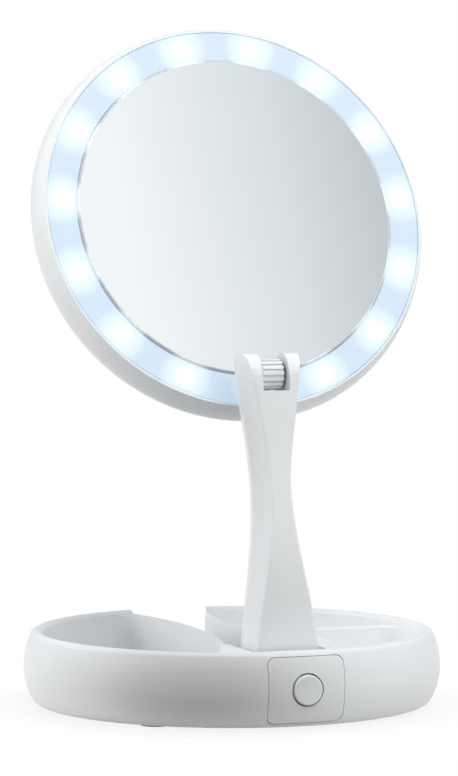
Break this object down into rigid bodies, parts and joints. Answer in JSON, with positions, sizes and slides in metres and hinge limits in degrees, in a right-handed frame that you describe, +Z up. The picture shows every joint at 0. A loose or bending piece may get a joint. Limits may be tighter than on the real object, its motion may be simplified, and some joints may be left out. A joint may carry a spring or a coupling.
{
  "type": "folding lighted makeup mirror",
  "caption": "Round two-sided mirror head with a lit ring on a folding arm over a round tray base with a pocket, a shallow tray and a push button.",
  "frame": {"origin": "centre of the footprint on the table", "axes": "+Z up, the button side faces -Y, +X to the right seen from the button side"},
  "size_m": [0.165, 0.1636, 0.2671],
  "materials": {
    "shell": "satin",
    "panel": "satin",
    "button": "satin",
    "diffuser": "frosted",
    "lamp": "gloss",
    "mirror": "polished",
    "board": "matte",
    "inner": "matte",
    "switch": "matte",
    "pad": "matte",
    "rubber": "matte",
    "cell": "satin",
    "steel": "satin",
    "spring": "polished",
    "wire": "matte"
  },
  "bodies": {
    "base": {"base_housing": "shell", "base_plate": "inner", "button_panel": "panel", "switch_board": "board", "switch_body": "switch", "battery_cells": "cell", "battery_springs": "spring", "battery_contacts": "spring", "rubber_feet": "rubber", "plate_screws": "steel", "base_hinge_pin": "steel"},
    "button": {"power_button": "button", "switch_plunger": "switch"},
    "door": {"battery_door": "inner"},
    "arm": {"arm_front_shell": "shell", "arm_rear_shell": "shell", "arm_screws": "steel", "arm_wire": "wire", "head_hinge_pin": "steel", "friction_washers": "switch"},
    "head": {"head_shell": "shell", "light_ring": "diffuser", "led_board": "board", "led_chips": "lamp", "mirror_carrier": "inner", "mirror_pad": "pad", "front_mirror": "mirror", "rear_mirror": "mirror", "rear_bezel": "shell", "hinge_knuckle": "shell", "knuckle_screws": "steel"}
  },
  "joints": [
    {"name": "arm_fold", "type": "hinge", "parent": "base", "child": "arm", "pos_m": [0, -0.0495, 0.0144], "axis": [-1, 0, 0], "range_deg": [0, 57]},
    {"name": "head_tilt", "type": "hinge", "parent": "arm", "child": "head", "pos_m": [0, -0.0402, 0.13253], "axis": [1, 0, 0], "range_deg": [-10, 170]},
    {"name": "power_button", "type": "slide", "parent": "base", "child": "button", "axis": [0, 1, 0], "range_m": [0, 0.0012], "stiffness_N_per_m": 800},
    {"name": "battery_door", "type": "hinge", "parent": "base", "child": "door", "pos_m": [0.03385, 0.0515, 0.0018], "axis": [1, 0, 0], "range_deg": [0, 75]}
  ]
}
